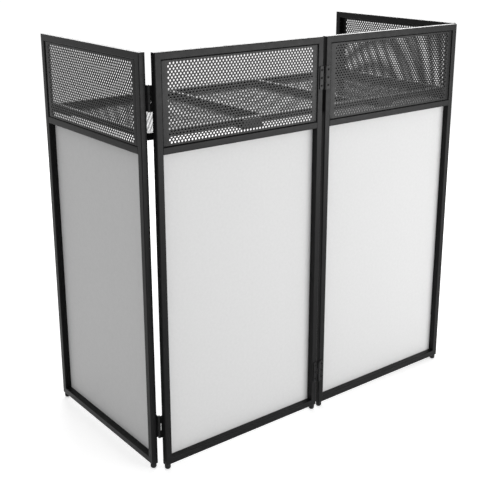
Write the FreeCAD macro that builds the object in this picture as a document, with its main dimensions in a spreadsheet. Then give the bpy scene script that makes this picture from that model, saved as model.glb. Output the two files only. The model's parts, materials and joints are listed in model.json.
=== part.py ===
"""Folding four-panel DJ booth: tube frames, perforated grilles, stretched scrims and a lift-off table.

Frame: +Z up, front faces -Y, origin on the floor under the middle of the booth. Millimetres.
"""
import FreeCAD, Part
import Sketcher
import math
import os

from FreeCAD import Placement, Rotation, Vector

# Driving dimensions, one cell of the sheet each.
SIZES = {
    # Square tube of every frame
    "tube": 20.0,
    "tube_wall": 1.5,
    "tube_chamfer": 1.5,
    # Panels
    "frame_height": 1200.0,
    "front_width": 584.0,
    "grille_opening": 231.0,
    # Feet
    "foot_height": 16.0,
    "foot_width": 18.0,
    # Butt hinges
    "hinge_height": 70.0,
    "hinge_reach": 20.0,
    "hinge_gap": 6.0,
    "hinge_offset": 4.0,
    "hinge_inset": 120.0,
    "leaf_thickness": 2.5,
    "barrel_width": 9.0,
    "pin_width": 4.0,
    "pin_clearance": 0.05,
    "knuckle_clearance": 0.3,
    "leaf_clearance": 0.6,
    # Perforated trays of the grilles and the table
    "sheet_thickness": 1.2,
    "tray_depth": 12.0,
    "tray_chamfer": 2.0,
    "tray_clearance": 0.25,
    "grille_recess": 2.5,
    "grille_side_border": 19.0,
    "grille_edge_border": 6.0,
    "grille_hole": 33.0,
    "grille_pitch": 61.0,
    "grille_row": 35.5,
    "deck_border": 14.0,
    "deck_hole": 50.0,
    "deck_pitch": 90.0,
    "deck_row": 62.0,
    "deck_lift": 1.0,
    # Scrims and the tape that holds them
    "scrim_thickness": 0.8,
    "scrim_lap": 14.0,
    "tape_thickness": 1.2,
    "tape_width": 12.0,
    "tape_inset": 1.0,
    "scrim_clearance": 1.0,
    # Table
    "table_depth": 550.0,
    "table_rise": 37.0,
    "table_setback": 34.0,
    "table_rear_gap": 7.0,
    "table_clearance": 4.0,
    "bar_offset": 185.0,
    # Rests that carry the table
    "rest_thickness": 2.5,
    "rest_rise": 24.0,
    "rest_ledge_lap": 18.0,
    "rest_clearance": 0.3,
    "front_rest_length": 68.0,
    "front_rest_offset": 268.0,
    "side_rest_length": 120.0,
}

X, Y, Z = Vector(1, 0, 0), Vector(0, 1, 0), Vector(0, 0, 1)

doc = FreeCAD.newDocument("DjBooth")
sheet = doc.addObject("Spreadsheet::Sheet", "Sizes")
for row, (alias, number) in enumerate(SIZES.items(), start=1):
    sheet.set(f"A{row}", alias)
    sheet.set(f"B{row}", str(number))
    sheet.setAlias(f"B{row}", alias)
doc.recompute()


class Size:
    """A length: its value in millimetres and the sheet expression that gives it."""

    def __init__(self, value, text):
        self.value = value
        self.text = text

    def __add__(self, other):
        other = as_size(other)
        return Size(self.value + other.value, f"({self.text} + {other.text})")

    def __sub__(self, other):
        other = as_size(other)
        return Size(self.value - other.value, f"({self.text} - {other.text})")

    def __mul__(self, factor):
        return Size(self.value * factor, f"({self.text} * {factor})")

    def __truediv__(self, divisor):
        return Size(self.value / divisor, f"({self.text} / {divisor})")

    def __neg__(self):
        return Size(-self.value, f"(0 - {self.text})")


def as_size(number):
    """Return a Size as it is, and a plain number as a Size."""
    return number if isinstance(number, Size) else Size(float(number), repr(float(number)))


def cell(alias):
    """Return the sheet's cell as a Size."""
    return Size(float(sheet.get(alias)), f"Sizes.{alias}")


tube = cell("tube")
frame_height = cell("frame_height")
front_width = cell("front_width")
grille_opening = cell("grille_opening")
foot_height = cell("foot_height")
hinge_gap = cell("hinge_gap")
hinge_offset = cell("hinge_offset")
hinge_height = cell("hinge_height")
hinge_reach = cell("hinge_reach")
hinge_inset = cell("hinge_inset")
barrel_radius = cell("barrel_width") / 2
leaf_thickness = cell("leaf_thickness")
tray_clearance = cell("tray_clearance")
table_depth = cell("table_depth")
table_setback = cell("table_setback")

# Places that several pieces share
crossbar_height = frame_height - grille_opening - tube * 2
hinge_spacing = frame_height - hinge_inset * 2
knuckle = hinge_height / 3
leaf_cover = hinge_reach - hinge_gap
notch_x = leaf_cover + cell("scrim_clearance")
notch_z = hinge_inset + hinge_height / 2 + cell("scrim_clearance")
front_end = hinge_gap + front_width
corner_x = front_end + hinge_gap
inner_x = corner_x + hinge_offset
front_reach = hinge_offset + barrel_radius
side_start = tube + hinge_offset + hinge_gap
rear_reach = table_setback + table_depth + cell("table_rear_gap")
side_width = rear_reach - side_start
front_y = (front_reach - rear_reach) / 2
corner_y = front_y + tube + hinge_offset
hinge_z = foot_height + hinge_inset
table_width = (inner_x - cell("table_clearance")) * 2
table_front = front_y + table_setback
table_z = foot_height + crossbar_height + cell("table_rise")
bar_offset = cell("bar_offset")
ledge_top = table_z - cell("rest_clearance")


def place(x, y, z, rotation=Rotation()):
    """Return a placement from Sizes or numbers."""
    return Placement(Vector(as_size(x).value, as_size(y).value, as_size(z).value), rotation)


def turn(x_axis, y_axis, z_axis):
    """Return the rotation that lays a piece's own axes along the three given ones."""
    return Rotation(x_axis, y_axis, z_axis, "ZXY")


def new_body(label):
    """Return an empty body that may hold a group of separate solids."""
    body = doc.addObject("PartDesign::Body", label)
    body.Label = label
    body.AllowCompound = True
    return body


def new_sketch(body, role, offset=0.0):
    """Return a sketch on one of the body's origin planes, moved along its normal."""
    sketch = body.newObject("Sketcher::SketchObject", "Sketch")
    plane = next(item for item in body.Origin.OriginFeatures if item.Role == role)
    sketch.AttachmentSupport = [(plane, "")]
    sketch.MapMode = "FlatFace"
    sketch.setExpression("AttachmentOffset.Base.z", as_size(offset).text)
    return sketch


def bind_point(sketch, geometry, position, x, y):
    """Hold a point of the sketch at two sheet expressions."""
    for kind, size in (("DistanceX", x), ("DistanceY", y)):
        index = sketch.addConstraint(Sketcher.Constraint(kind, geometry, position, size.value))
        sketch.setExpression(f"Constraints[{index}]", size.text)


def outline(sketch, corners):
    """Draw a closed outline of straight lines through the corners."""
    corners = [(as_size(x), as_size(y)) for x, y in corners]
    points = [Vector(x.value, y.value, 0) for x, y in corners]
    lines = []
    for start, end in zip(points, points[1:] + points[:1]):
        lines.append(sketch.addGeometry(Part.LineSegment(start, end), False))
    for line, after in zip(lines, lines[1:] + lines[:1]):
        sketch.addConstraint(Sketcher.Constraint("Coincident", line, 2, after, 1))
    for line, (x, y) in zip(lines, corners):
        bind_point(sketch, line, 1, x, y)


def rectangle(sketch, low_x, high_x, low_y, high_y):
    """Draw a rectangle between two corners."""
    outline(sketch, [(low_x, low_y), (high_x, low_y), (high_x, high_y), (low_x, high_y)])


def circle(sketch, x, y, radius):
    """Draw a circle."""
    x, y = as_size(x), as_size(y)
    round_line = Part.Circle(Vector(x.value, y.value, 0), Z, radius.value)
    geometry = sketch.addGeometry(round_line, False)
    bind_point(sketch, geometry, 3, x, y)
    index = sketch.addConstraint(Sketcher.Constraint("Radius", geometry, radius.value))
    sketch.setExpression(f"Constraints[{index}]", radius.text)


def hexagon(sketch, x, y, width):
    """Draw a hexagon with its flats above and below its centre."""
    half = width / 2
    corner = width / math.sqrt(3)
    outline(sketch, [
        (x + corner, y), (x + corner / 2, y + half), (x - corner / 2, y + half),
        (x - corner, y), (x - corner / 2, y - half), (x + corner / 2, y - half),
    ])


def pad(body, sketch, length, reverse=False, middle=False):
    """Extrude a sketch and return the feature."""
    feature = body.newObject("PartDesign::Pad", "Pad")
    feature.Profile = sketch
    feature.setExpression("Length", as_size(length).text)
    feature.Reversed = reverse
    feature.Midplane = middle
    doc.recompute()
    return feature


def pocket(body, sketch, length, reverse=False, middle=False):
    """Cut a sketch into the body and stop if nothing was cut away."""
    before = body.Shape.Volume
    feature = body.newObject("PartDesign::Pocket", "Pocket")
    feature.Profile = sketch
    feature.setExpression("Length", as_size(length).text)
    feature.Reversed = reverse
    feature.Midplane = middle
    doc.recompute()
    if not body.Shape.Volume < before:
        raise RuntimeError(f"{body.Label}: the cut removed nothing")
    return feature


def revolve(body, sketch):
    """Turn a sketch once round the body's Z axis."""
    feature = body.newObject("PartDesign::Revolution", "Revolution")
    feature.Profile = sketch
    axis = next(item for item in body.Origin.OriginFeatures if item.Role == "Z_Axis")
    feature.ReferenceAxis = (axis, [""])
    feature.Angle = 360.0
    doc.recompute()
    return feature


def edges_where(feature, test):
    """Return the names of a feature's edges whose every vertex passes the test."""
    names = []
    for number, edge in enumerate(feature.Shape.Edges, start=1):
        if all(test(vertex.Point) for vertex in edge.Vertexes):
            names.append(f"Edge{number}")
    return names


def ease_edges(body, feature, names, size):
    """Add a chamfer along the named edges."""
    eased = body.newObject("PartDesign::Chamfer", "Chamfer")
    eased.Base = (feature, names)
    eased.setExpression("Size", size.text)
    doc.recompute()
    return eased


def near(first, second):
    """Tell whether two lengths are equal."""
    return abs(first - second) < 1e-6


def tube_section(sketch, width, height, centre_x=0.0, centre_y=0.0):
    """Draw the section of a rectangular tube: its outside and its hollow."""
    centre_x, centre_y = as_size(centre_x), as_size(centre_y)
    for shrink in (as_size(0.0), cell("tube_wall")):
        half_x = width / 2 - shrink
        half_y = height / 2 - shrink
        rectangle(sketch, centre_x - half_x, centre_x + half_x, centre_y - half_y, centre_y + half_y)


def square_tube(label, length, mitred):
    """Make a hollow tube along Z with eased long edges, its short side towards +X if mitred."""
    body = new_body(label)
    section = new_sketch(body, "XY_Plane")
    tube_section(section, tube, tube)
    bar = pad(body, section, length)
    half = tube.value / 2
    long_edges = []
    for number, edge in enumerate(bar.Shape.Edges, start=1):
        ends = [vertex.Point for vertex in edge.Vertexes]
        upright = near(ends[0].x, ends[1].x) and near(ends[0].y, ends[1].y)
        if upright and near(abs(ends[0].x), half) and near(abs(ends[0].y), half):
            long_edges.append(f"Edge{number}")
    ease_edges(body, bar, long_edges, cell("tube_chamfer"))
    if mitred:
        spare = cell("tube_wall")
        outside = -(tube / 2) - spare
        inside = tube / 2 + spare
        cuts = new_sketch(body, "XZ_Plane")
        outline(cuts, [(outside, -spare), (inside, -spare), (inside, tube + spare)])
        outline(cuts, [(outside, length + spare), (inside, length - tube - spare), (inside, length + spare)])
        pocket(body, cuts, tube * 2, middle=True)
    return body


def tray(label, width, height, border_x, border_y, hole, pitch, row):
    """Make a shallow perforated tray: its face at z 0, its folded edges towards +Z."""
    body = new_body(label)
    face = new_sketch(body, "XY_Plane")
    rectangle(face, -(width / 2), width / 2, -(height / 2), height / 2)
    block = pad(body, face, cell("tray_depth"))
    front_edges = edges_where(block, lambda point: near(point.z, 0.0))
    folded = ease_edges(body, block, front_edges, cell("tray_chamfer"))
    back = [
        f"Face{number}" for number, side in enumerate(folded.Shape.Faces, start=1)
        if near(side.CenterOfMass.z, cell("tray_depth").value)
    ]
    shell = body.newObject("PartDesign::Thickness", "Shell")
    shell.Base = (folded, back)
    shell.setExpression("Value", "Sizes.sheet_thickness")
    shell.Reversed = True
    shell.Join = "Intersection"
    doc.recompute()
    columns = int((width - border_x * 2 - hole - pitch / 2).value // pitch.value) + 1
    rows = int((height - border_y * 2 - hole - row).value // (row * 2).value) + 1
    start_x = -(pitch * (columns - 0.5) / 2)
    start_y = -(row * (2 * rows - 1) / 2)
    holes = new_sketch(body, "XY_Plane")
    hexagon(holes, start_x, start_y, hole)
    hexagon(holes, start_x + pitch / 2, start_y + row, hole)
    punched = pocket(body, holes, cell("sheet_thickness") * 2, reverse=True)
    pattern = body.newObject("PartDesign::LinearPattern", "Perforation")
    pattern.Originals = [punched]
    pattern.Direction = (holes, ["H_Axis"])
    pattern.Occurrences = columns
    pattern.setExpression("Length", (pitch * (columns - 1)).text)
    pattern.Direction2 = (holes, ["V_Axis"])
    pattern.Occurrences2 = rows
    pattern.setExpression("Length2", (row * (2 * rows - 2)).text)
    body.Tip = pattern
    doc.recompute()
    return body


def hinge_leaves(label, outer_knuckles):
    """Make one side of a hinge line: pin along Z, plates towards +X, seat at y -hinge_offset.

    The outer knuckles hold the pin fast and are one piece with it. The middle knuckle turns on it.
    """
    body = new_body(label)
    pin = cell("pin_width") / 2
    gap = cell("knuckle_clearance") / 2
    bottom, top = -(hinge_height / 2), hinge_height / 2
    low, high = -(knuckle / 2), knuckle / 2
    root = barrel_radius + cell("leaf_clearance")
    levels = (as_size(0.0), hinge_spacing)
    rings = new_sketch(body, "XZ_Plane")
    for level in levels:
        if outer_knuckles:
            outline(rings, [
                (0.0, level + bottom), (barrel_radius, level + bottom),
                (barrel_radius, level + low - gap), (pin, level + low - gap),
                (pin, level + high + gap), (barrel_radius, level + high + gap),
                (barrel_radius, level + top), (0.0, level + top),
            ])
        else:
            bore = pin + cell("pin_clearance")
            rectangle(rings, bore, barrel_radius, level + low + gap, level + high - gap)
    revolve(body, rings)
    plates = new_sketch(body, "XZ_Plane", hinge_offset - leaf_thickness)
    for level in levels:
        rectangle(plates, root, hinge_reach, level + bottom, level + top)
    pad(body, plates, leaf_thickness)
    tongues = new_sketch(body, "XZ_Plane", hinge_offset - leaf_thickness)
    spans = ((bottom, low - gap), (high + gap, top)) if outer_knuckles else ((low + gap, high - gap),)
    for level in levels:
        for start, end in spans:
            rectangle(tongues, pin + cell("pin_clearance") * 2, root, level + start, level + end)
    pad(body, tongues, leaf_thickness)
    return body


def feet(label, width):
    """Make the two feet of a panel, under its posts, tops at z 0."""
    body = new_body(label)
    rounds = new_sketch(body, "XY_Plane")
    for x in (tube / 2, width - tube / 2):
        circle(rounds, x, tube / 2, cell("foot_width") / 2)
    pad(body, rounds, foot_height, reverse=True)
    return body


def mirrored(width, hinge_at_start, corners):
    """Return an outline drawn from the hinge post's side, turned round where that post is at the far end."""
    if hinge_at_start:
        return corners
    return [(width - x, z) for x, z in corners]


def scrim(label, width, hinge_at_start):
    """Make a stretched scrim over the lower window, cut away beside the lower hinge's leaf."""
    body = new_body(label)
    lap = cell("scrim_lap")
    side, far = tube - lap, width - tube + lap
    bottom, top = tube - lap, crossbar_height + lap
    cloth = new_sketch(body, "XZ_Plane")
    outline(cloth, mirrored(width, hinge_at_start, [
        (notch_x, bottom), (far, bottom), (far, top), (side, top), (side, notch_z), (notch_x, notch_z),
    ]))
    pad(body, cloth, cell("scrim_thickness"), reverse=True)
    return body


def scrim_tape(label, width, hinge_at_start):
    """Make the four strips of hook-and-loop tape between a frame and its scrim."""
    body = new_body(label)
    lap = cell("scrim_lap")
    inset = cell("tape_inset")
    strip = cell("tape_width")
    side, far = tube - lap + inset, width - tube + lap - inset
    bottom, top = tube - lap + inset, crossbar_height + lap - inset
    low, high = bottom + strip + inset, top - strip - inset
    strips = new_sketch(body, "XZ_Plane")
    for x0, x1, z0, z1 in (
        (notch_x + inset, far, bottom, bottom + strip), (side, far, top - strip, top),
        (side, side + strip, notch_z + inset, high), (far - strip, far, low, high),
    ):
        outline(strips, mirrored(width, hinge_at_start, [(x0, z0), (x1, z0), (x1, z1), (x0, z1)]))
    pad(body, strips, cell("tape_thickness"), reverse=True)
    return body


def rest(label, length, ledge):
    """Make an angle that carries the table: flange at y 0 rising from z 0, ledge under z 0 towards +Y."""
    body = new_body(label)
    angle = new_sketch(body, "YZ_Plane")
    thick = cell("rest_thickness")
    rise = cell("rest_rise")
    outline(angle, [
        (as_size(0.0), -thick), (ledge, -thick), (ledge, as_size(0.0)),
        (thick, as_size(0.0)), (thick, rise), (as_size(0.0), rise),
    ])
    pad(body, angle, length, middle=True)
    return body


nodes = []


def keep(body, placement):
    """Place a finished sub-part and put it on the list of nodes."""
    body.Placement = placement
    nodes.append(body)
    return body


ALONG_X_UP = turn(Z, -Y, X)
ALONG_X_DOWN = turn(-Z, Y, X)
HALF_TURN = Rotation(Z, 180)


def build_panel(name, width, base, start_post, end_post, hinge_at_start):
    """Make one panel: local x along its width, y from its outer to its inner face, z from the post's foot."""
    middle = tube / 2

    def put(body, x, y, z, rotation=Rotation()):
        keep(body, base.multiply(place(x, y, z, rotation)))

    put(square_tube(f"{name}_{start_post}_post", frame_height, True), middle, middle, 0.0)
    put(square_tube(f"{name}_{end_post}_post", frame_height, True), width - middle, middle, 0.0, HALF_TURN)
    put(square_tube(f"{name}_bottom_rail", width, True), 0.0, middle, middle, ALONG_X_UP)
    put(square_tube(f"{name}_top_rail", width, True), 0.0, middle, frame_height - middle, ALONG_X_DOWN)
    crossbar = square_tube(f"{name}_crossbar", width - tube * 2, False)
    put(crossbar, tube, middle, crossbar_height + middle, ALONG_X_UP)
    grille = tray(
        f"{name}_grille", width - tube * 2 - tray_clearance * 2, grille_opening - tray_clearance * 2,
        cell("grille_side_border"), cell("grille_edge_border"),
        cell("grille_hole"), cell("grille_pitch"), cell("grille_row"),
    )
    grille_z = crossbar_height + tube + grille_opening / 2
    put(grille, width / 2, cell("grille_recess"), grille_z, turn(-X, Z, Y))
    put(scrim_tape(f"{name}_scrim_tape", width, hinge_at_start), 0.0, tube, 0.0)
    put(scrim(f"{name}_scrim", width, hinge_at_start), 0.0, tube + cell("tape_thickness"), 0.0)
    put(feet(f"{name}_feet", width), 0.0, 0.0, 0.0)


def build_table():
    """Make the table: a mitred tube frame, two bars across it and three perforated decks sunk between them."""
    middle = tube / 2
    left = -(table_width / 2)
    rear = table_front + table_depth
    level = table_z + middle
    keep(square_tube("table_front_tube", table_width, True),
         place(left, table_front + middle, level, turn(Y, Z, X)))
    keep(square_tube("table_rear_tube", table_width, True),
         place(left, rear - middle, level, turn(-Y, -Z, X)))
    keep(square_tube("table_left_tube", table_depth, True),
         place(left + middle, table_front, level, turn(X, -Z, Y)))
    keep(square_tube("table_right_tube", table_depth, True),
         place(-left - middle, table_front, level, turn(-X, Z, Y)))
    bars = new_body("table_bars")
    section = new_sketch(bars, "XZ_Plane")
    for side in (-1, 1):
        tube_section(section, tube, tube, bar_offset * side, middle)
    field_depth = table_depth - tube * 2
    pad(bars, section, field_depth, reverse=True)
    keep(bars, place(0.0, table_front + tube, table_z))
    centre_field = bar_offset * 2 - tube
    side_field = table_width / 2 - tube - bar_offset - middle
    side_x = bar_offset + middle + side_field / 2
    fields = (("left", side_field, -side_x), ("centre", centre_field, 0.0), ("right", side_field, side_x))
    for name, width, x in fields:
        deck = tray(
            f"table_{name}_deck", width - tray_clearance * 2, field_depth - tray_clearance * 2,
            cell("deck_border"), cell("deck_border"),
            cell("deck_hole"), cell("deck_pitch"), cell("deck_row"),
        )
        keep(deck, place(x, table_front + table_depth / 2, table_z + cell("deck_lift")))


def build_hinges():
    """Make the leaves of the three hinge lines."""
    upper_z = hinge_z + hinge_spacing
    left = place(-corner_x, corner_y, hinge_z)
    over_left = place(-corner_x, corner_y, upper_z, turn(Y, X, -Z))
    over_right = place(corner_x, corner_y, upper_z, turn(-X, Y, -Z))
    over_centre = place(0.0, front_y - hinge_offset, upper_z, turn(X, -Y, -Z))
    turned_centre = place(0.0, front_y - hinge_offset, hinge_z, HALF_TURN)
    turned_right = place(corner_x, corner_y, hinge_z, Rotation(Z, 90))
    sides = (
        ("centre_hinge_left", True, turned_centre), ("centre_hinge_right", False, over_centre),
        ("left_hinge_front", True, left), ("left_hinge_side", False, over_left),
        ("right_hinge_front", True, over_right), ("right_hinge_side", False, turned_right),
    )
    for name, outer_knuckles, placement in sides:
        keep(hinge_leaves(f"{name}_leaves", outer_knuckles), placement)


def build_rests():
    """Make the four angles that carry the table: two behind the front grilles, two on the side posts."""
    sheet_back = front_y + cell("grille_recess") + cell("sheet_thickness")
    front_ledge = table_front + cell("rest_ledge_lap") - sheet_back
    side_ledge = cell("table_clearance") + cell("rest_ledge_lap")
    for name, side in (("front_left", -1), ("front_right", 1)):
        angle = rest(f"{name}_table_rest", cell("front_rest_length"), front_ledge)
        keep(angle, place(cell("front_rest_offset") * side, sheet_back, ledge_top))
    rest_y = front_y + rear_reach - cell("side_rest_length") / 2
    for name, x, angle_deg in (("left_side", -inner_x, -90), ("right_side", inner_x, 90)):
        angle = rest(f"{name}_table_rest", cell("side_rest_length"), side_ledge)
        keep(angle, place(x, rest_y, ledge_top, Rotation(Z, angle_deg)))


def build_booth():
    """Make every sub-part of the booth."""
    outer_x = inner_x + tube
    side_y = front_y + side_start
    build_panel("front_left", front_width, place(-front_end, front_y, foot_height), "outer", "inner", True)
    build_panel("front_right", front_width, place(hinge_gap, front_y, foot_height), "inner", "outer", False)
    left_base = place(-outer_x, side_y + side_width, foot_height, Rotation(Z, -90))
    build_panel("left_side", side_width, left_base, "rear", "front", False)
    right_base = place(outer_x, side_y, foot_height, Rotation(Z, 90))
    build_panel("right_side", side_width, right_base, "front", "rear", True)
    build_hinges()
    build_table()
    build_rests()


def check_and_write(folder):
    """Stop on any failed object or bad shape, then write one STEP file for each node."""
    for item in doc.Objects:
        if "Invalid" in item.State or "Error" in item.State:
            raise RuntimeError(f"{item.Label}: {item.State}")
    os.makedirs(folder, exist_ok=True)
    for node in nodes:
        if node.Shape.isNull() or not node.Shape.isValid():
            raise RuntimeError(f"{node.Label}: bad shape")
        node.Shape.exportStep(os.path.join(folder, f"{node.Label}.step"))
    print(f"{len(nodes)} nodes written")


build_booth()
doc.recompute()
check_and_write("parts")
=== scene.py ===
"""Dress the folding DJ booth: coated tube frames, fine perforated sheet, stretched scrims, hinges and feet.

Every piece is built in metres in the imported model's frame and rides on one of its bodies.
"""
from __future__ import annotations

import json
import logging
import math
from collections.abc import Iterable
from dataclasses import dataclass
from enum import Enum
from typing import Any

import bmesh
import bpy
from bmesh.types import BMEdge, BMesh, BMVert
from bpy.types import Material, Node, NodeSocket, NodeTree, Object
from mathutils import Matrix, Vector

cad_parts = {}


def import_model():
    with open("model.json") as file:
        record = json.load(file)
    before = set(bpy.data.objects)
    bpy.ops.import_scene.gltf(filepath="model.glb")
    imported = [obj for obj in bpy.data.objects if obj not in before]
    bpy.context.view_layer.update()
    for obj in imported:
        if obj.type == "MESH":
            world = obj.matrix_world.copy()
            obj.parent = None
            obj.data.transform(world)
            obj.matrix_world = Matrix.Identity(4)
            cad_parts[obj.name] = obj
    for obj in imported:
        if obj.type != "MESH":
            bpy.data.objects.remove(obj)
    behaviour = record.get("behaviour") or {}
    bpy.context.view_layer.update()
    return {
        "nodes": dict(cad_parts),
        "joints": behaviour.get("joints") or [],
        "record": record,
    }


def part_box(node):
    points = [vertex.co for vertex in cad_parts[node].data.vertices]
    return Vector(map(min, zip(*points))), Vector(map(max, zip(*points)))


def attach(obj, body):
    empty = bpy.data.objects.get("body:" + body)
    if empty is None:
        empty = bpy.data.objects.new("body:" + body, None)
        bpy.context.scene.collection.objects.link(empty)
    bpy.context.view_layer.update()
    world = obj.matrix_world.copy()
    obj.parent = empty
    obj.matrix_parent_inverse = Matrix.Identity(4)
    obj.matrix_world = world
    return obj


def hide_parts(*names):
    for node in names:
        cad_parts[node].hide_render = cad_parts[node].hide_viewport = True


LOG = logging.getLogger("booth")
MM = 0.001
# Points nearer to each other than this are the same point.
TOUCH = 0.001 * MM
# One hinge plate's height, which the scrims' notches clear.
HINGE_HEIGHT = 70.0 * MM
# Edges that bend less than this are shaded smooth, and sharper ones may be eased.
SMOOTH_DEG = 40.0
# Most of a noise texture lies between these two values.
NOISE_LOW, NOISE_HIGH = 0.3, 0.7
# The Mix node's sockets for colours, whose names repeat for each kind of data.
MIX_SHARE, MIX_FIRST, MIX_SECOND, MIX_RESULT = 0, 6, 7, 2


def linear(code: str) -> tuple[float, float, float, float]:
    """Turn an sRGB hex colour into linear RGBA.

    Args:
        code: six hex digits with a leading hash.

    Returns:
        The colour as Blender's sockets take it.
    """
    channels = [int(code[place:place + 2], 16) / 255 for place in (1, 3, 5)]
    bent = [part / 12.92 if part <= 0.04045 else ((part + 0.055) / 1.055) ** 2.4 for part in channels]
    return (*bent, 1.0)


def per_mm(size: float) -> float:
    """Return the texture scale that gives one feature for each size in millimetres."""
    return 1.0 / (size * MM)


def add_node(tree: NodeTree, kind: str, inputs: dict[str | int, Any] | None = None, **settings: Any) -> Node:
    """Add a node with its settings, values and links.

    Args:
        tree: the node tree.
        kind: the node's Blender type.
        inputs: values, or output sockets to link, by input name or place.
        settings: the node's own properties.

    Returns:
        The new node.
    """
    node = tree.nodes.new(kind)
    for name, value in settings.items():
        setattr(node, name, value)
    for name, value in (inputs or {}).items():
        if isinstance(value, NodeSocket):
            tree.links.new(value, node.inputs[name])
        else:
            node.inputs[name].default_value = value
    return node


def new_material(name: str) -> tuple[Material, NodeTree]:
    """Make an empty node material.

    Args:
        name: the material's name.

    Returns:
        The material and its tree.
    """
    material = bpy.data.materials.new(name)
    material.use_nodes = True
    material.node_tree.nodes.clear()
    return material, material.node_tree


@dataclass(frozen=True)
class CoatedSteel:
    """Steel with a baked powder coat: near black, satin, with the faint orange peel of melted powder."""

    name: str
    dark: str
    light: str
    roughness: tuple[float, float]
    specular: float
    peel_mm: float
    peel_height_mm: float
    peel_strength: float = 0.35
    drift_mm: float = 70.0
    smudge_mm: float = 18.0

    def material(self) -> Material:
        """Build the coat: a slow drift of shade, a little uneven gloss and the peel as bump.

        Returns:
            The material.
        """
        material, tree = new_material(self.name)
        place = add_node(tree, "ShaderNodeTexCoord").outputs["Object"]
        drift = add_node(tree, "ShaderNodeTexNoise", {
            "Vector": place, "Scale": per_mm(self.drift_mm), "Detail": 3.0,
        })
        shade = add_node(tree, "ShaderNodeMix", {
            MIX_SHARE: drift.outputs["Fac"], MIX_FIRST: linear(self.dark), MIX_SECOND: linear(self.light),
        }, data_type="RGBA")
        smudge = add_node(tree, "ShaderNodeTexNoise", {
            "Vector": place, "Scale": per_mm(self.smudge_mm), "Detail": 4.0,
        })
        gloss = add_node(tree, "ShaderNodeMapRange", {
            "Value": smudge.outputs["Fac"], "From Min": NOISE_LOW, "From Max": NOISE_HIGH,
            "To Min": self.roughness[0], "To Max": self.roughness[1],
        })
        peel = add_node(tree, "ShaderNodeTexNoise", {
            "Vector": place, "Scale": per_mm(self.peel_mm), "Detail": 2.0,
        })
        bump = add_node(tree, "ShaderNodeBump", {
            "Height": peel.outputs["Fac"], "Strength": self.peel_strength,
            "Distance": self.peel_height_mm * MM,
        })
        shader = add_node(tree, "ShaderNodeBsdfPrincipled", {
            "Base Color": shade.outputs[MIX_RESULT], "Roughness": gloss.outputs["Result"],
            "Normal": bump.outputs["Normal"], "Specular IOR Level": self.specular,
        })
        add_node(tree, "ShaderNodeOutputMaterial", {"Surface": shader.outputs["BSDF"]})
        return material


@dataclass(frozen=True)
class StretchKnit:
    """White polyester stretch knit: matt, faintly ribbed, with a soft sheen at a glancing angle."""

    name: str
    pale: str
    dull: str
    # The real ribs, under half a millimetre wide, are too fine to show, so they are drawn wider.
    rib_mm: float
    rib_height_mm: float = 0.2
    rib_strength: float = 0.12
    rib_shade: float = 0.12
    slub_mm: float = 9.0
    roughness: float = 0.85
    specular: float = 0.2
    sheen: float = 0.08
    sheen_roughness: float = 0.5

    def material(self) -> Material:
        """Build the knit: ribs across and along, and the slow unevenness of its yarn.

        Returns:
            The material.
        """
        material, tree = new_material(self.name)
        place = add_node(tree, "ShaderNodeTexCoord").outputs["Object"]
        parts = add_node(tree, "ShaderNodeSeparateXYZ", {"Vector": place})
        across = add_node(tree, "ShaderNodeMath", {
            0: parts.outputs["X"], 1: parts.outputs["Y"],
        }, operation="ADD")
        turns = 2 * math.pi * per_mm(self.rib_mm)
        waves = []
        for length in (across.outputs[0], parts.outputs["Z"]):
            turned = add_node(tree, "ShaderNodeMath", {0: length, 1: turns}, operation="MULTIPLY")
            waves.append(add_node(tree, "ShaderNodeMath", {0: turned.outputs[0]}, operation="SINE"))
        ribs = add_node(tree, "ShaderNodeMath", {
            0: waves[0].outputs[0], 1: waves[1].outputs[0],
        }, operation="MULTIPLY")
        slub = add_node(tree, "ShaderNodeTexNoise", {
            "Vector": place, "Scale": per_mm(self.slub_mm), "Detail": 4.0,
        })
        mixed = add_node(tree, "ShaderNodeMath", {
            0: ribs.outputs[0], 1: self.rib_shade, 2: slub.outputs["Fac"],
        }, operation="MULTIPLY_ADD")
        tint = add_node(tree, "ShaderNodeMix", {
            MIX_SHARE: mixed.outputs[0], MIX_FIRST: linear(self.dull), MIX_SECOND: linear(self.pale),
        }, data_type="RGBA")
        bump = add_node(tree, "ShaderNodeBump", {
            "Height": ribs.outputs[0], "Strength": self.rib_strength, "Distance": self.rib_height_mm * MM,
        })
        shader = add_node(tree, "ShaderNodeBsdfPrincipled", {
            "Base Color": tint.outputs[MIX_RESULT], "Roughness": self.roughness,
            "Normal": bump.outputs["Normal"], "Specular IOR Level": self.specular,
            "Sheen Weight": self.sheen, "Sheen Roughness": self.sheen_roughness,
        })
        add_node(tree, "ShaderNodeOutputMaterial", {"Surface": shader.outputs["BSDF"]})
        return material


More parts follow.
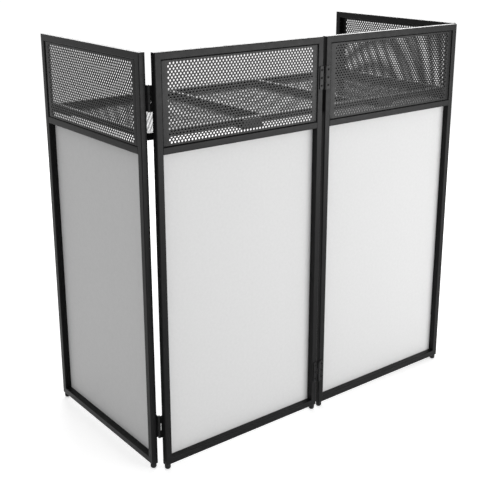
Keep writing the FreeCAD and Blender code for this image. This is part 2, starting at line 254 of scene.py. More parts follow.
@dataclass(frozen=True)
class RoughBlack:
    """A matt black that scatters light: rubber skin or the nap of loop tape."""

    name: str
    dark: str
    light: str
    grain_mm: float
    grain_height_mm: float
    roughness: float
    sheen: float
    grain_strength: float = 0.5
    specular: float = 0.3

    def material(self) -> Material:
        """Build the grain as bump with a little shade of its own.

        Returns:
            The material.
        """
        material, tree = new_material(self.name)
        place = add_node(tree, "ShaderNodeTexCoord").outputs["Object"]
        grain = add_node(tree, "ShaderNodeTexNoise", {
            "Vector": place, "Scale": per_mm(self.grain_mm), "Detail": 5.0,
        })
        shade = add_node(tree, "ShaderNodeMix", {
            MIX_SHARE: grain.outputs["Fac"], MIX_FIRST: linear(self.dark), MIX_SECOND: linear(self.light),
        }, data_type="RGBA")
        bump = add_node(tree, "ShaderNodeBump", {
            "Height": grain.outputs["Fac"], "Strength": self.grain_strength,
            "Distance": self.grain_height_mm * MM,
        })
        shader = add_node(tree, "ShaderNodeBsdfPrincipled", {
            "Base Color": shade.outputs[MIX_RESULT], "Roughness": self.roughness,
            "Normal": bump.outputs["Normal"], "Specular IOR Level": self.specular,
            "Sheen Weight": self.sheen,
        })
        add_node(tree, "ShaderNodeOutputMaterial", {"Surface": shader.outputs["BSDF"]})
        return material


class Finish(Enum):
    """The booth's finishes, each with the record's slot that it dresses."""

    # Powder coat baked on steel tube: an even near black with a broad satin highlight.
    FRAME = ("frame_black", CoatedSteel(
        "satin_powder_coat", dark="#0e0e0f", light="#151515", roughness=(0.28, 0.36), specular=0.11,
        peel_mm=1.4, peel_height_mm=0.05,
    ))
    # The same coat on punched sheet: a little smoother, so that the webs between the holes catch the light.
    SHEET = ("grille_black", CoatedSteel(
        "coated_perforated_sheet", dark="#0e0e0f", light="#151515", roughness=(0.2, 0.3), specular=0.13,
        peel_mm=1.4, peel_height_mm=0.04,
    ))
    # A thinner coat on hinge plates and brackets: a finer peel and a slightly stronger light on the edges.
    HINGE = ("hinge_black", CoatedSteel(
        "coated_hinge_steel", dark="#101010", light="#171718", roughness=(0.28, 0.4), specular=0.16,
        peel_mm=0.9, peel_height_mm=0.03,
    ))
    # Screw steel blackened in a bath: darker and duller than the coat round it.
    SCREW = ("hinge_black", CoatedSteel(
        "blackened_screw_steel", dark="#050505", light="#0a0a0a", roughness=(0.35, 0.5), specular=0.1,
        peel_mm=0.5, peel_height_mm=0.02,
    ))
    # Polyester knit pulled tight: a flat, matt, slightly grey white.
    SCRIM = ("scrim_white", StretchKnit("stretch_knit_scrim", pale="#d5d5d5", dull="#cccccc", rib_mm=2.4))
    # The nap of woven loop tape: a deep black with a soft edge and no highlight.
    TAPE = ("tape_black", RoughBlack(
        "loop_tape_nap", dark="#0c0c0c", light="#1a1a1a", grain_mm=0.9, grain_height_mm=0.4,
        roughness=0.95, sheen=0.3,
    ))
    # Moulded rubber: a dull black with a fine skin.
    RUBBER = ("foot_rubber", RoughBlack(
        "moulded_rubber", dark="#0d0d0d", light="#151515", grain_mm=1.1, grain_height_mm=0.06,
        roughness=0.7, sheen=0.0,
    ))

    @property
    def slot(self) -> str:
        """The record's material slot."""
        return self.value[0]

    def material(self) -> Material:
        """Return the finish's material, built once."""
        maker = self.value[1]
        return bpy.data.materials.get(maker.name) or maker.material()


class Facing(Enum):
    """Which way a flat piece looks: its directions across, up and out."""

    FRONT = ((1, 0, 0), (0, 0, 1), (0, -1, 0))
    LEFT = ((0, -1, 0), (0, 0, 1), (-1, 0, 0))
    RIGHT = ((0, 1, 0), (0, 0, 1), (1, 0, 0))
    DOWN = ((1, 0, 0), (0, -1, 0), (0, 0, -1))

    @property
    def across(self) -> Vector:
        """The direction across the piece."""
        return Vector(self.value[0])

    @property
    def out(self) -> Vector:
        """The direction that its face looks in."""
        return Vector(self.value[2])

    def placed(self, origin: Vector) -> Matrix:
        """Return the matrix that lays a piece drawn across x, up y and out z at the origin."""
        return Matrix.Translation(origin) @ Matrix(self.value).transposed().to_4x4()

    def spans(self, node: str) -> Vector:
        """Return a node's width, height and depth in these directions."""
        low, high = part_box(node)
        return Vector([abs((high - low).dot(Vector(axis))) for axis in self.value])

    def face(self, node: str) -> Vector:
        """Return the middle of a node's outer face."""
        return middle_of([node]) + self.out * (self.spans(node).z / 2)


class HingeEnd(Enum):
    """Which end of a panel, along its direction across, lies at the corner hinge."""

    START = -1
    FINISH = 1


@dataclass(frozen=True)
class Workshop:
    """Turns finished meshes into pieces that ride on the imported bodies."""

    body_of: dict[str, str]
    eased_steps: int = 2

    def piece(
        self, mesh: BMesh, name: str, finish: Finish, node: str,
        replaced: bool = True, smooth_deg: float = SMOOTH_DEG,
    ) -> Object:
        """Make an object of a mesh, dress it and let it ride.

        Args:
            mesh: the finished shape, in the model's frame. It is freed.
            name: the piece's name.
            finish: what it is coated with or made of.
            node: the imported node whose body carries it.
            replaced: whether it takes that node's place.
            smooth_deg: edges that bend less than this are shaded smooth.

        Returns:
            The object.
        """
        data = bpy.data.meshes.new(name)
        mesh.to_mesh(data)
        mesh.free()
        data.shade_smooth()
        data.set_sharp_from_angle(angle=math.radians(smooth_deg))
        data.materials.append(finish.material())
        thing = bpy.data.objects.new(name, data)
        bpy.context.scene.collection.objects.link(thing)
        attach(thing, self.body_of[node])
        if replaced:
            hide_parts(node)
        LOG.info("%s rides on %s", name, self.body_of[node])
        return thing

    def rounded(self, thing: Object, width: float = 0.0) -> None:
        """Give a piece weighted normals, after a small bevel if a width is given.

        Args:
            thing: the piece.
            width: the bevel's width.
        """
        if width:
            bevel = thing.modifiers.new("eased_edges", "BEVEL")
            bevel.width = width
            bevel.segments = self.eased_steps
            bevel.limit_method = "ANGLE"
            bevel.angle_limit = math.radians(SMOOTH_DEG)
        thing.modifiers.new("flat_faces", "WEIGHTED_NORMAL").keep_sharp = True

    def coat_node(self, nodes: dict[str, Object], name: str, finish: Finish) -> None:
        """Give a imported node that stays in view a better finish.

        Args:
            nodes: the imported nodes' objects by name.
            name: the node's name.
            finish: its coat.
        """
        data = nodes[name].data
        data.materials.clear()
        data.materials.append(finish.material())
        LOG.info("%s is coated", name)


def middle_of(nodes: list[str]) -> Vector:
    """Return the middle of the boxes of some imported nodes."""
    centres = [sum(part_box(node), Vector()) / 2 for node in nodes]
    return sum(centres, Vector()) / len(nodes)


def verts_in(geometry: Iterable[Any]) -> list[BMVert]:
    """Return the vertices among what an operator gave back."""
    return [item for item in geometry if isinstance(item, BMVert)]


def add_grid(mesh: BMesh, columns: int, rows: int, width: float, height: float) -> None:
    """Draw a flat grid round the origin in an empty mesh."""
    bmesh.ops.create_grid(mesh, x_segments=columns, y_segments=rows, size=0.5)
    bmesh.ops.scale(mesh, vec=(width, height, 1.0), verts=mesh.verts)


def add_block(mesh: BMesh, low: Vector, high: Vector) -> list[BMVert]:
    """Add a box between two corners to a mesh.

    Args:
        mesh: the mesh to add to.
        low: the box's lowest corner.
        high: its highest corner.

    Returns:
        The box's vertices.
    """
    verts = bmesh.ops.create_cube(mesh, size=1.0)["verts"]
    bmesh.ops.scale(mesh, vec=high - low, verts=verts)
    bmesh.ops.translate(mesh, vec=(low + high) / 2, verts=verts)
    return verts


def edges_along(verts: Iterable[BMVert], axis: int) -> list[BMEdge]:
    """Find the edges at some vertices that run along one axis.

    Args:
        verts: the vertices.
        axis: 0, 1 or 2 for X, Y or Z.

    Returns:
        The edges.
    """
    found = []
    for edge in {edge for vert in verts for edge in vert.link_edges}:
        run = edge.verts[0].co - edge.verts[1].co
        if run.length - abs(run[axis]) < TOUCH:
            found.append(edge)
    return found


def bevel_edges(mesh: BMesh, edges: list[BMEdge], width: float, steps: int) -> None:
    """Round edges of a mesh out to a width, in a number of steps."""
    bmesh.ops.bevel(
        mesh, geom=edges, offset=width, offset_type="OFFSET", segments=steps,
        profile=0.5, affect="EDGES", material=-1,
    )


def slice_mesh(mesh: BMesh, spot: Iterable[float], way: Iterable[float], clear: bool = False) -> list[BMEdge]:
    """Cut a whole mesh with a plane.

    Args:
        mesh: the mesh.
        spot: a point on the plane.
        way: the plane's normal.
        clear: whether what lies on the normal's side is taken away.

    Returns:
        The edges on the plane.
    """
    geometry = [*mesh.verts, *mesh.edges, *mesh.faces]
    cut = bmesh.ops.bisect_plane(mesh, geom=geometry, plane_co=spot, plane_no=way, clear_outer=clear)
    return [item for item in cut["geom_cut"] if isinstance(item, BMEdge)]


@dataclass
class TubeSet:
    """Square tubes with rounded corners, mitred where they meet in a frame's corners."""

    shop: Workshop
    corner_radius: float = 2.2 * MM
    corner_steps: int = 4

    def build(self, node: str, middle: Vector | None) -> None:
        """Build the tube of one node.

        Args:
            node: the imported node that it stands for.
            middle: the middle of the frame that it is mitred into, or None for square ends.
        """
        low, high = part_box(node)
        size = high - low
        along = max(range(3), key=lambda axis: size[axis])
        mesh = bmesh.new()
        self.bar(mesh, low, high, along)
        if middle is not None:
            self.mitre(mesh, low, high, along, middle)
        self.finish(mesh, node)

    def pair(self, node: str, width: float) -> None:
        """Build a node that is two like bars along Y at the ends of its box along X.

        Args:
            node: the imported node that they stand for.
            width: one bar's width.
        """
        low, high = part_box(node)
        mesh = bmesh.new()
        for start in (low.x, high.x - width):
            self.bar(mesh, Vector((start, low.y, low.z)), Vector((start + width, high.y, high.z)), along=1)
        self.finish(mesh, node)

    def bar(self, mesh: BMesh, low: Vector, high: Vector, along: int) -> None:
        """Add a square bar with rounded corners between two corners of its box."""
        verts = add_block(mesh, low, high)
        bevel_edges(mesh, edges_along(verts, along), self.corner_radius, self.corner_steps)

    def mitre(self, mesh: BMesh, low: Vector, high: Vector, along: int, middle: Vector) -> None:
        """Cut both ends at 45 degrees towards the frame's middle, where the weld is ground flush.

        Args:
            mesh: the straight tube.
            low: the lowest corner of its box.
            high: the highest corner of its box.
            along: the axis that it runs along.
            middle: the middle of its frame.
        """
        toward = middle - (low + high) / 2
        toward[along] = 0.0
        side = max(range(3), key=lambda axis: abs(toward[axis]))
        inward = Vector([math.copysign(1.0, toward[axis]) if axis == side else 0.0 for axis in range(3)])
        for end, sign in ((low, 1.0), (high, -1.0)):
            run = Vector([sign if axis == along else 0.0 for axis in range(3)])
            corner = (low + high) / 2
            corner[along] = end[along]
            corner[side] = low[side] if inward[side] > 0 else high[side]
            rim = slice_mesh(mesh, corner, (inward - run).normalized(), clear=True)
            bmesh.ops.holes_fill(mesh, edges=rim, sides=0)

    def finish(self, mesh: BMesh, node: str) -> None:
        """Make the coated piece that stands for a node."""
        tube = self.shop.piece(mesh, f"{node}_coated", Finish.FRAME, node)
        self.shop.rounded(tube)


@dataclass
class PerforatedTray:
    """A folded sheet with round holes in staggered rows."""

    shop: Workshop
    border_across: float
    border_up: float
    pitch: float = 11.1 * MM
    row: float = 7.5 * MM
    hole: float = 6.0 * MM
    rim_cuts: int = 2
    sheet: float = 1.2 * MM
    fold_radius: float = 2.0 * MM
    fold_steps: int = 3
    smooth_deg: float = 60.0

    def build(self, node: str, facing: Facing) -> None:
        """Build the tray of one node.

        Args:
            node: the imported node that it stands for.
            facing: which way its face looks.
        """
        size = facing.spans(node)
        mesh = bmesh.new()
        field = self.punch(mesh, size)
        self.fold(mesh, field, size)
        bmesh.ops.transform(mesh, matrix=facing.placed(facing.face(node)), verts=mesh.verts)
        self.shop.piece(mesh, f"{node}_sheet", Finish.SHEET, node, smooth_deg=self.smooth_deg)

    def punch(self, mesh: BMesh, size: Vector) -> Vector:
        """Draw the perforated field: a grid whose every other point opens into a round hole.

        Args:
            mesh: an empty mesh.
            size: the tray's width, height and depth.

        Returns:
            The field's width and height.
        """
        step = self.pitch / 2
        # Even numbers of columns and rows put a hole in the middle.
        columns = 2 * int((size.x - 2 * self.border_across) / step / 2)
        rows = 2 * int((size.y - 2 * self.border_up) / self.row / 2)
        field = Vector((columns * step, rows * self.row, 0.0))
        add_grid(mesh, columns, rows, field.x, field.y)
        centres = []
        for vert in mesh.verts:
            column = round(vert.co.x / step)
            level = round(vert.co.y / self.row)
            if not vert.is_boundary and (column + level) % 2 == 0:
                centres.append(vert)
        opened = bmesh.ops.bevel(
            mesh, geom=centres, offset=self.hole / 2, offset_type="OFFSET", segments=1,
            profile=0.5, affect="VERTICES", material=-1,
        )
        rims = {edge for face in opened["faces"] for edge in face.edges}
        bmesh.ops.delete(mesh, geom=opened["faces"], context="FACES")
        bmesh.ops.bisect_edges(mesh, edges=list(rims), cuts=self.rim_cuts)
        for vert in mesh.verts:
            self.round_out(vert, step)
        return field

    def round_out(self, vert: BMVert, step: float) -> None:
        """Push a point on the edge of a hole out onto the hole's circle.

        Args:
            vert: any point of the field.
            step: the distance between two columns of the grid.
        """
        level = round(vert.co.y / self.row)
        column = round((vert.co.x / step - level) / 2) * 2 + level
        for across, up in ((0, 0), (-1, -1), (1, -1), (-1, 1), (1, 1)):
            centre = Vector(((column + across) * step, (level + up) * self.row, 0.0))
            away = vert.co - centre
            if away.length < self.hole / 2 + TOUCH:
                vert.co = centre + away.normalized() * (self.hole / 2)
                return

    def fold(self, mesh: BMesh, field: Vector, size: Vector) -> None:
        """Add the plain border and the edges folded back, then the sheet's thickness.

        Args:
            mesh: the perforated field.
            field: its width and height.
            size: the tray's width, height and depth.
        """
        rim = [edge for edge in mesh.edges if edge.is_boundary and self.on_outline(edge, field)]
        border = verts_in(bmesh.ops.extrude_edge_only(mesh, edges=rim)["geom"])
        bmesh.ops.scale(mesh, vec=(size.x / field.x, size.y / field.y, 1.0), verts=border)
        linked = {edge for vert in border for edge in vert.link_edges}
        bend = [edge for edge in linked if edge.is_boundary]
        flange = verts_in(bmesh.ops.extrude_edge_only(mesh, edges=bend)["geom"])
        bmesh.ops.translate(mesh, vec=(0.0, 0.0, -size.z), verts=flange)
        bmesh.ops.recalc_face_normals(mesh, faces=mesh.faces)
        bevel_edges(mesh, bend, self.fold_radius, self.fold_steps)
        upper = max(mesh.faces, key=lambda face: face.calc_center_median().z)
        if upper.normal.z < 0:
            bmesh.ops.reverse_faces(mesh, faces=mesh.faces)
        bmesh.ops.solidify(mesh, geom=mesh.faces[:], thickness=self.sheet)
        bmesh.ops.recalc_face_normals(mesh, faces=mesh.faces)

    def on_outline(self, edge: BMEdge, field: Vector) -> bool:
        """Tell whether an edge lies on the outline of a field of this width and height."""
        return any(
            all(abs(abs(vert.co[axis]) - field[axis] / 2) < TOUCH for vert in edge.verts)
            for axis in (0, 1)
        )


@dataclass
class HingeSide:
    """One side of a hinge line: two plates with knuckles, and a screw level with each knuckle."""

    shop: Workshop
    node: str
    pin: Vector
    reach_way: Vector
    out_way: Vector
    outer_knuckles: bool
    height: float = HINGE_HEIGHT
    plate: float = 2.5 * MM
    offset: float = 4.0 * MM
    corner_radius: float = 3.0 * MM
    corner_steps: int = 4
    eased: float = 0.4 * MM
    knuckles: int = 3
    knuckle_gap: float = 0.3 * MM
    barrel: float = 4.5 * MM
    barrel_gap: float = 0.6 * MM
    pin_radius: float = 2.0 * MM
    pin_proud: float = 1.0 * MM
    round_sides: int = 24
    screw_out: float = 13.0 * MM
    screw_radius: float = 3.3 * MM
    screw_height: float = 0.8 * MM
    screw_flare: float = 1.06
    recess_reach: float = 0.6
    recess_width: float = 0.17
    recess_depth: float = 0.7

    def build(self) -> None:
        """Build the plates and the screws as two pieces."""
        low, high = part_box(self.node)
        reach = max(abs((corner - self.pin).dot(self.reach_way)) for corner in (low, high))
        axes = (self.reach_way, self.out_way, self.reach_way.cross(self.out_way))
        share = self.height / self.knuckles
        plates, heads = bmesh.new(), bmesh.new()
        for level in (low.z + self.height / 2, high.z - self.height / 2):
            origin = Vector((self.pin.x, self.pin.y, level))
            place = Matrix.Translation(origin) @ Matrix(axes).transposed().to_4x4()
            leaf = self.leaf(plates, reach, share)
            bmesh.ops.transform(plates, matrix=place, verts=leaf)
            for number in range(self.knuckles):
                head = self.screw(heads)
                rise = share * (number - (self.knuckles - 1) / 2)
                seat = Matrix.Translation((self.screw_out, self.plate - self.offset, rise))
                facing_out = Matrix.Rotation(math.radians(-90), 4, "X")
                bmesh.ops.transform(heads, matrix=place @ seat @ facing_out, verts=head)
        thing = self.shop.piece(plates, f"{self.node}_coated", Finish.HINGE, self.node)
        self.shop.rounded(thing, self.eased)
        self.shop.piece(heads, f"{self.node}_screws", Finish.SCREW, self.node, replaced=False)

    def leaf(self, mesh: BMesh, reach: float, share: float) -> list[BMVert]:
        """Add one plate, its knuckles and, with outer knuckles, the pin, drawn round the pin's middle.

        Args:
            mesh: the mesh to add to.
            reach: how far the plate goes from the pin's axis.
            share: one knuckle's share of the height.

        Returns:
            The new vertices.
        """
        before = set(mesh.verts)
        root = self.barrel + self.barrel_gap
        back, face = -self.offset, self.plate - self.offset
        half = self.height / 2
        block = add_block(mesh, Vector((root, back, -half)), Vector((reach, face, half)))
        far = [edge for edge in edges_along(block, 1) if abs(edge.verts[0].co.x - reach) < TOUCH]
        bevel_edges(mesh, far, self.corner_radius, self.corner_steps)
        inner, slack = share / 2, self.knuckle_gap / 2
        spans = [(slack - inner, inner - slack)]
        if self.outer_knuckles:
            spans = [(-half, -inner - slack), (inner + slack, half)]
            self.rod(mesh, self.pin_radius, -half - self.pin_proud, half + self.pin_proud)
        for start, end in spans:
            add_block(mesh, Vector((self.pin_radius, back, start)), Vector((root, face, end)))
            self.rod(mesh, self.barrel, start, end)
        return [vert for vert in mesh.verts if vert not in before]

    def rod(self, mesh: BMesh, radius: float, start: float, end: float) -> None:
        """Add an upright round bar between two heights."""
        made = bmesh.ops.create_cone(
            mesh, cap_ends=True, segments=self.round_sides, radius1=radius, radius2=radius, depth=end - start)
        bmesh.ops.translate(mesh, vec=(0.0, 0.0, (start + end) / 2), verts=made["verts"])

    def screw(self, mesh: BMesh) -> list[BMVert]:
        """Add a low screw head with a cross recess, its axis along Z and its seat at z 0.

        Args:
            mesh: the mesh to add to.

        Returns:
            The new vertices.
        """
        before = set(mesh.verts)
        rim = bmesh.ops.create_circle(
            mesh, cap_ends=False, segments=self.round_sides, radius=self.screw_radius)["verts"]
        cross = self.cross(mesh)
        recess = next(iter(set.intersection(*(set(vert.link_faces) for vert in cross))))
        loops = {edge for vert in (*rim, *cross) for edge in vert.link_edges}
        bmesh.ops.bridge_loops(mesh, edges=list(loops))
        outline = [edge for edge in mesh.edges if edge.is_boundary and edge.verts[0] in rim]
        lower = verts_in(bmesh.ops.extrude_edge_only(mesh, edges=outline)["geom"])
        bmesh.ops.translate(mesh, vec=(0.0, 0.0, -self.screw_height), verts=lower)
        bmesh.ops.scale(mesh, vec=(self.screw_flare, self.screw_flare, 1.0), verts=lower)
        bmesh.ops.holes_fill(mesh, edges=[edge for edge in mesh.edges if edge.is_boundary], sides=0)
        sunk = bmesh.ops.extrude_discrete_faces(mesh, faces=[recess])["faces"]
        bmesh.ops.translate(mesh, vec=(0.0, 0.0, -self.recess_depth * self.screw_height), verts=sunk[0].verts)
        made = [vert for vert in mesh.verts if vert not in before]
        bmesh.ops.recalc_face_normals(mesh, faces=list({face for vert in made for face in vert.link_faces}))
        bmesh.ops.translate(mesh, vec=(0.0, 0.0, self.screw_height), verts=made)
        return made

    def cross(self, mesh: BMesh) -> list[BMVert]:
        """Add the flat outline of the recess: a circle whose points are moved onto a cross.

        Args:
            mesh: the mesh to add to.

        Returns:
            The new vertices.
        """
        arm, blade = self.screw_radius * self.recess_reach, self.screw_radius * self.recess_width
        quarter = ((arm, -blade), (arm, blade), (blade, blade))
        verts = bmesh.ops.create_circle(mesh, cap_ends=True, segments=4 * len(quarter), radius=arm)["verts"]
        verts.sort(key=lambda vert: math.atan2(vert.co.y, vert.co.x) % (2 * math.pi))
        for number, vert in enumerate(verts):
            turn, point = divmod(number, len(quarter))
            vert.co = Matrix.Rotation(math.radians(90 * turn), 3, "Z") @ Vector((*quarter[point], 0.0))
        return verts


@dataclass
class Feet:
    """Moulded feet under a panel's posts: a round plug with a domed sole."""

    shop: Workshop
    dome: float = 6.0 * MM
    dome_steps: int = 6
    collar: float = 1.0 * MM
    collar_steps: int = 2
    round_sides: int = 32

    def build(self, node: str) -> None:
        """Build the two feet of one node.

        Args:
            node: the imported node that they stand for.
        """
        low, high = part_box(node)
        middle = (low + high) / 2
        radius = min(high.x - low.x, high.y - low.y) / 2
        tall = high.z - low.z
        mesh = bmesh.new()
        for spot in (low, high):
            before = set(mesh.verts)
            plug = bmesh.ops.create_cone(
                mesh, cap_ends=True, segments=self.round_sides, radius1=radius, radius2=radius, depth=tall)
            edges = {edge for vert in plug["verts"] for edge in vert.link_edges}
            sole = [edge for edge in edges if all(vert.co.z < 0 for vert in edge.verts)]
            crown = [edge for edge in edges if all(vert.co.z > 0 for vert in edge.verts)]
            bevel_edges(mesh, crown, self.collar, self.collar_steps)
            bevel_edges(mesh, sole, self.dome, self.dome_steps)
            place = Vector((
                spot.x + math.copysign(radius, middle.x - spot.x),
                spot.y + math.copysign(radius, middle.y - spot.y),
                low.z + tall / 2,
            ))
            foot = [vert for vert in mesh.verts if vert not in before]
            bmesh.ops.translate(mesh, vec=place, verts=foot)
        self.shop.piece(mesh, f"{node}_moulded", Finish.RUBBER, node)


@dataclass(frozen=True)
class ClothCut:
    """The flat cut of a scrim: a rectangle less a notch beside the lower hinge."""

    width: float
    height: float
    notch_x: float
    notch_y: float

    @property
    def area(self) -> float:
        """The flat area."""
        return self.width * self.height - self.notch_x * self.notch_y


@dataclass
class Scrim:
    """A stretched knit panel with a turned hem, held by loop tape on the back of a frame."""

    shop: Workshop
    panel: str
    facing: Facing
    hinge_node: str
    hinge_end: HingeEnd
    clearance: float = 1.0 * MM
    tape_inset: float = 1.0 * MM
    tape_width: float = 12.0 * MM
    hem_inset: float = 0.4 * MM
    hem_width: float = 13.0 * MM
    hem_thickness: float = 0.5 * MM
    eased: float = 0.2 * MM
    grid: float = 9.0 * MM
    pucker_depth: float = 0.35 * MM
    pucker_inset: float = 30.0 * MM
    pucker_spread: float = 18.0 * MM
    pucker_length: float = 64.0 * MM

    @property
    def node(self) -> str:
        """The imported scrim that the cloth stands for."""
        return f"{self.panel}_scrim"

    def build(self) -> None:
        """Build the cloth, its hem and the tape that holds it."""
        cut = self.measure()
        thick = self.facing.spans(self.node).z
        place = self.facing.placed(self.facing.face(self.node))
        cloth = bmesh.new()
        self.stretch(cloth, cut)
        self.cut_notch(cloth, cut)
        inner = bmesh.ops.extrude_face_region(cloth, geom=cloth.faces[:], use_keep_orig=True)["geom"]
        bmesh.ops.translate(cloth, vec=(0.0, 0.0, -thick), verts=verts_in(inner))
        bmesh.ops.recalc_face_normals(cloth, faces=cloth.faces)
        bmesh.ops.transform(cloth, matrix=place, verts=cloth.verts)
        sheet = self.shop.piece(cloth, f"{self.node}_cloth", Finish.SCRIM, self.node)
        hem = self.hem(cut, thick, place)
        tape = self.tape(cut)

    def measure(self) -> ClothCut:
        """Work out the cloth's flat cut, with a notch that clears the lower hinge's plate.

        Returns:
            The cut.
        """
        size = self.facing.spans(self.node)
        leaf_low, leaf_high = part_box(self.hinge_node)
        across = self.facing.across * self.hinge_end.value
        edge = middle_of([self.node]).dot(across) + size.x / 2
        leaf = min(leaf_low.dot(across), leaf_high.dot(across))
        top = leaf_low.z + HINGE_HEIGHT + self.clearance
        return ClothCut(size.x, size.y, edge - leaf + self.clearance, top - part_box(self.node)[0].z)

    def stretch(self, mesh: BMesh, cut: ClothCut) -> None:
        """Draw the cloth with the small puckers that a tight edge has where it is held.

        Args:
            mesh: an empty mesh.
            cut: the cloth's flat cut.
        """
        columns, rows = round(cut.width / self.grid), round(cut.height / self.grid)
        add_grid(mesh, columns, rows, cut.width, cut.height)
        for vert in mesh.verts:
            edge_x = cut.width / 2 - abs(vert.co.x)
            edge_y = cut.height / 2 - abs(vert.co.y)
            along, inside = (vert.co.y, edge_x) if edge_x < edge_y else (vert.co.x, edge_y)
            fade = math.exp(-((inside - self.pucker_inset) / self.pucker_spread) ** 2)
            wave = (1 + math.sin(along * 2 * math.pi / self.pucker_length)) / 2
            vert.co.z -= self.pucker_depth * fade * wave

    def cut_notch(self, mesh: BMesh, cut: ClothCut) -> None:
        """Cut the cloth away beside the lower hinge.

        Args:
            mesh: the cloth, drawn round its middle.
            cut: its flat cut.
        """
        way = self.hinge_end.value
        limit_x = cut.width / 2 - cut.notch_x
        limit_y = cut.notch_y - cut.height / 2
        slice_mesh(mesh, (way * limit_x, 0.0, 0.0), (1.0, 0.0, 0.0))
        slice_mesh(mesh, (0.0, limit_y, 0.0), (0.0, 1.0, 0.0))
        gone = []
        for face in mesh.faces:
            middle = face.calc_center_median()
            if middle.x * way > limit_x and middle.y < limit_y:
                gone.append(face)
        bmesh.ops.delete(mesh, geom=gone, context="FACES")

    def bands(self, cut: ClothCut, inset: float, width: float, back: float, face: float) -> BMesh:
        """Make four flat bands along the cloth's edges, short of the notch.

        Args:
            cut: the cloth's flat cut.
            inset: the gap from the cloth's edge and between the bands.
            width: the bands' width.
            back: how far out their inner side lies.
            face: how far out their outer side lies.

        Returns:
            Their mesh, drawn round the cloth's middle.
        """
        far, side = -cut.width / 2 + inset, cut.width / 2 - inset
        low, high = -cut.height / 2 + inset, cut.height / 2 - inset
        outlines = (
            (far, cut.width / 2 - cut.notch_x - inset, low, low + width),
            (far, side, high - width, high),
            (side - width, side, cut.notch_y - cut.height / 2 + inset, high - width - inset),
            (far, far + width, low + width + inset, high - width - inset),
        )
        mesh = bmesh.new()
        for start, end, lower, upper in outlines:
            left, right = sorted((start * self.hinge_end.value, end * self.hinge_end.value))
            add_block(mesh, Vector((left, lower, back)), Vector((right, upper, face)))
        return mesh

    def hem(self, cut: ClothCut, thick: float, place: Matrix) -> Object:
        """Build the turned hem on the cloth's inner side.

        Args:
            cut: the cloth's flat cut.
            thick: its thickness.
            place: where the cloth's outer face lies.

        Returns:
            The piece.
        """
        mesh = self.bands(cut, self.hem_inset, self.hem_width, -thick - self.hem_thickness, -thick)
        bmesh.ops.transform(mesh, matrix=place, verts=mesh.verts)
        hem = self.shop.piece(mesh, f"{self.node}_hem", Finish.SCRIM, self.node, replaced=False)
        self.shop.rounded(hem, self.eased)
        return hem

    def tape(self, cut: ClothCut) -> Object:
        """Build the strips of tape between the frame and the cloth.

        Args:
            cut: the cloth's flat cut.

        Returns:
            The piece.
        """
        node = f"{self.node}_tape"
        out = self.facing.out
        middle = middle_of([self.node])
        middle += out * (self.facing.face(node).dot(out) - middle.dot(out))
        mesh = self.bands(cut, self.tape_inset, self.tape_width, -self.facing.spans(node).z, 0.0)
        bmesh.ops.transform(mesh, matrix=self.facing.placed(middle), verts=mesh.verts)
        tape = self.shop.piece(mesh, f"{node}_nap", Finish.TAPE, node)
        self.shop.rounded(tape, self.eased)
        return tape


@dataclass
class Panel:
    """One panel of the booth: a mitred frame, a grille, a scrim and two feet."""

    shop: Workshop
    name: str
    facing: Facing
    posts: tuple[str, str]
    hinge_node: str
    hinge_end: HingeEnd
    grille_border_across: float = 15.0 * MM
    grille_border_up: float = 2.5 * MM

    def build(self) -> None:
        """Build the panel's pieces."""
        tubes = TubeSet(self.shop)
        posts = [f"{self.name}_{post}_post" for post in self.posts]
        for node in (*posts, f"{self.name}_bottom_rail", f"{self.name}_top_rail"):
            tubes.build(node, middle_of(posts))
        tubes.build(f"{self.name}_crossbar", None)
        grille = PerforatedTray(self.shop, self.grille_border_across, self.grille_border_up)
        grille.build(f"{self.name}_grille", self.facing)
        Feet(self.shop).build(f"{self.name}_feet")
        Scrim(self.shop, self.name, self.facing, self.hinge_node, self.hinge_end).build()


@dataclass
class Table:
    """The lift-off table: a mitred frame, two bars and three perforated decks."""

    shop: Workshop
    deck_border: float = 9.0 * MM

    def build(self) -> None:
        """Build the table's pieces."""
        tubes = TubeSet(self.shop)
        sides = [f"table_{side}_tube" for side in ("front", "rear", "left", "right")]
        for side in sides:
            tubes.build(side, middle_of(sides))
        front_low, front_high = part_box(sides[0])
        tubes.pair("table_bars", front_high.y - front_low.y)
        deck = PerforatedTray(self.shop, self.deck_border, self.deck_border)
        for side in ("left", "centre", "right"):
            deck.build(f"table_{side}_deck", Facing.DOWN)


@dataclass(frozen=True)
class Viewpoint:
    """The camera at the photograph's angle, with a little fall of the lens to keep posts nearly upright."""

    position: tuple[float, float, float] = (-1.836, -2.2713, 1.5205)
    azimuth_deg: float = -38.141
    elevation_deg: float = 16.619
    lens_mm: float = 65.649
    sensor_mm: float = 36.0
    fall: float = 0.1

    def build(self) -> None:
        """Make the camera and give it to the scene."""
        data = bpy.data.cameras.new("viewpoint")
        data.lens = self.lens_mm
        data.sensor_width = self.sensor_mm
        data.shift_y = -self.fall
        camera = bpy.data.objects.new("viewpoint", data)
        bpy.context.scene.collection.objects.link(camera)
        turn, tilt = math.radians(self.azimuth_deg), math.radians(self.elevation_deg)
        back = Vector((math.sin(turn) * math.cos(tilt), -math.cos(turn) * math.cos(tilt), math.sin(tilt)))
        camera.location = self.position
        camera.rotation_euler = (-back).to_track_quat("-Z", "Y").to_euler()
        bpy.context.scene.camera = camera


@dataclass(frozen=True)
class Lamp:
    """A soft rectangular lamp that looks at the booth."""

    name: str
    position: tuple[float, float, float]
    target: tuple[float, float, float]
    size: tuple[float, float]
    watts: float

    def build(self) -> None:
        """Make the lamp."""
        data = bpy.data.lights.new(self.name, "AREA")
        data.shape = "RECTANGLE"
        data.size, data.size_y = self.size
        data.energy = self.watts
        lamp = bpy.data.objects.new(self.name, data)
        bpy.context.scene.collection.objects.link(lamp)
        lamp.location = self.position
        aim = Vector(self.target) - Vector(self.position)
        lamp.rotation_euler = aim.to_track_quat("-Z", "Y").to_euler()


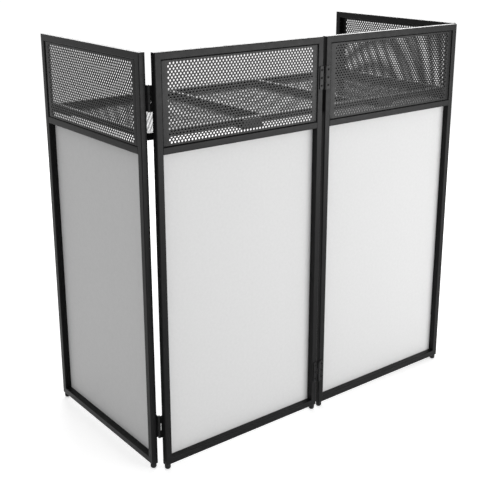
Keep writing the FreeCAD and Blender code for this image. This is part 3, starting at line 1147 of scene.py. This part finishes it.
@dataclass(frozen=True)
class Studio:
    """A plain pale floor, a white surround and soft lamps."""

    # The key is low and wide, so that the frames' front faces mirror it towards the camera.
    key: Lamp = Lamp(
        "key_softbox", position=(1.45, -3.25, 0.66), target=(-0.1, -0.3, 0.75), size=(3.4, 1.15), watts=74.0)
    # The back lamp lights the tops of the rails and the table.
    back: Lamp = Lamp(
        "back_softbox", position=(2.2, 2.9, 2.5), target=(0.0, 0.0, 1.1), size=(4.0, 2.2), watts=100.0)
    surround: float = 0.6
    surround_colour: str = "#ffffff"
    paper_glow: float = 0.5
    paper_colour: str = "#f7f7f7"
    paper_reach: float = 30.0

    def build(self) -> None:
        """Make the floor, the surround and the lamps."""
        bpy.context.scene.view_settings.view_transform = "Standard"
        self.floor()
        self.world()
        for lamp in (self.key, self.back):
            lamp.build()

    def floor(self) -> None:
        """Make the pale floor: paper that glows a little to the eye, so that it reads white with a shadow."""
        mesh = bmesh.new()
        add_grid(mesh, 1, 1, 2 * self.paper_reach, 2 * self.paper_reach)
        data = bpy.data.meshes.new("studio_floor")
        mesh.to_mesh(data)
        mesh.free()
        material, tree = new_material("studio_paper")
        shader = add_node(tree, "ShaderNodeBsdfDiffuse", {"Color": linear(self.paper_colour)})
        level = add_node(tree, "ShaderNodeMath", {
            0: self.seen(tree), 1: self.paper_glow,
        }, operation="MULTIPLY")
        glow = add_node(tree, "ShaderNodeEmission", {"Strength": level.outputs[0]})
        both = add_node(tree, "ShaderNodeAddShader", {0: shader.outputs["BSDF"], 1: glow.outputs["Emission"]})
        add_node(tree, "ShaderNodeOutputMaterial", {"Surface": both.outputs["Shader"]})
        data.materials.append(material)
        floor = bpy.data.objects.new("studio_floor", data)
        bpy.context.scene.collection.objects.link(floor)

    def world(self) -> None:
        """Make the surround: white to the eye and in reflections, a soft grey light otherwise."""
        world = bpy.data.worlds.new("studio_surround")
        bpy.context.scene.world = world
        world.use_nodes = True
        tree = world.node_tree
        tree.nodes.clear()
        level = add_node(tree, "ShaderNodeMapRange", {
            "Value": self.seen(tree), "To Min": self.surround, "To Max": 1.0,
        })
        glow = add_node(tree, "ShaderNodeBackground", {
            "Color": linear(self.surround_colour), "Strength": level.outputs["Result"],
        })
        add_node(tree, "ShaderNodeOutputWorld", {"Surface": glow.outputs["Background"]})

    def seen(self, tree: NodeTree) -> NodeSocket:
        """Find out where the eye, a reflection or glass looks at a surface.

        Args:
            tree: the surface's node tree.

        Returns:
            A socket that is 1 there and 0 for other light.
        """
        path = add_node(tree, "ShaderNodeLightPath").outputs
        direct = add_node(tree, "ShaderNodeMath", {
            0: path["Is Camera Ray"], 1: path["Is Glossy Ray"],
        }, operation="MAXIMUM")
        either = add_node(tree, "ShaderNodeMath", {
            0: direct.outputs[0], 1: path["Is Transmission Ray"],
        }, operation="MAXIMUM")
        return either.outputs[0]


def four_panels(shop: Workshop) -> list[Panel]:
    """List the booth's four panels, ready to build."""
    start, finish = HingeEnd.START, HingeEnd.FINISH
    return [
        Panel(shop, "front_left", Facing.FRONT, ("outer", "inner"), "left_hinge_front_leaves", start),
        Panel(shop, "front_right", Facing.FRONT, ("inner", "outer"), "right_hinge_front_leaves", finish),
        Panel(shop, "left_side", Facing.LEFT, ("rear", "front"), "left_hinge_side_leaves", finish),
        Panel(shop, "right_side", Facing.RIGHT, ("front", "rear"), "right_hinge_side_leaves", start),
    ]


def hinge_sides(shop: Workshop, joints: dict[str, Any]) -> list[HingeSide]:
    """List the six sides of the three hinge lines.

    Args:
        shop: the workshop.
        joints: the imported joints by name.

    Returns:
        The hinge sides, ready to build.
    """
    right, back = Vector((1, 0, 0)), Vector((0, 1, 0))
    centre, left_pin, right_pin = (
        Vector(joints[name]["pos_m"]) for name in ("centre_fold", "left_side_fold", "right_side_fold"))
    return [
        HingeSide(shop, "centre_hinge_left_leaves", centre, -right, -back, True),
        HingeSide(shop, "centre_hinge_right_leaves", centre, right, -back, False),
        HingeSide(shop, "left_hinge_front_leaves", left_pin, right, back, True),
        HingeSide(shop, "left_hinge_side_leaves", left_pin, back, right, False),
        HingeSide(shop, "right_hinge_front_leaves", right_pin, -right, back, True),
        HingeSide(shop, "right_hinge_side_leaves", right_pin, back, -right, False),
    ]


def main() -> None:
    """Build the booth and the studio."""
    logging.basicConfig(level=logging.INFO, format="%(name)s: %(message)s")
    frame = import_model()
    bodies = frame["record"]["behaviour"]["bodies"]
    shop = Workshop({node: body for body, nodes in bodies.items() for node in nodes})
    panels = four_panels(shop)
    for panel in panels:
        panel.build()
    for side in hinge_sides(shop, {joint["name"]: joint for joint in frame["joints"]}):
        side.build()
    Table(shop).build()
    for panel in panels:
        shop.coat_node(frame["nodes"], f"{panel.name}_table_rest", Finish.HINGE)
    Studio().build()
    Viewpoint().build()


if __name__ == "__main__":
    main()
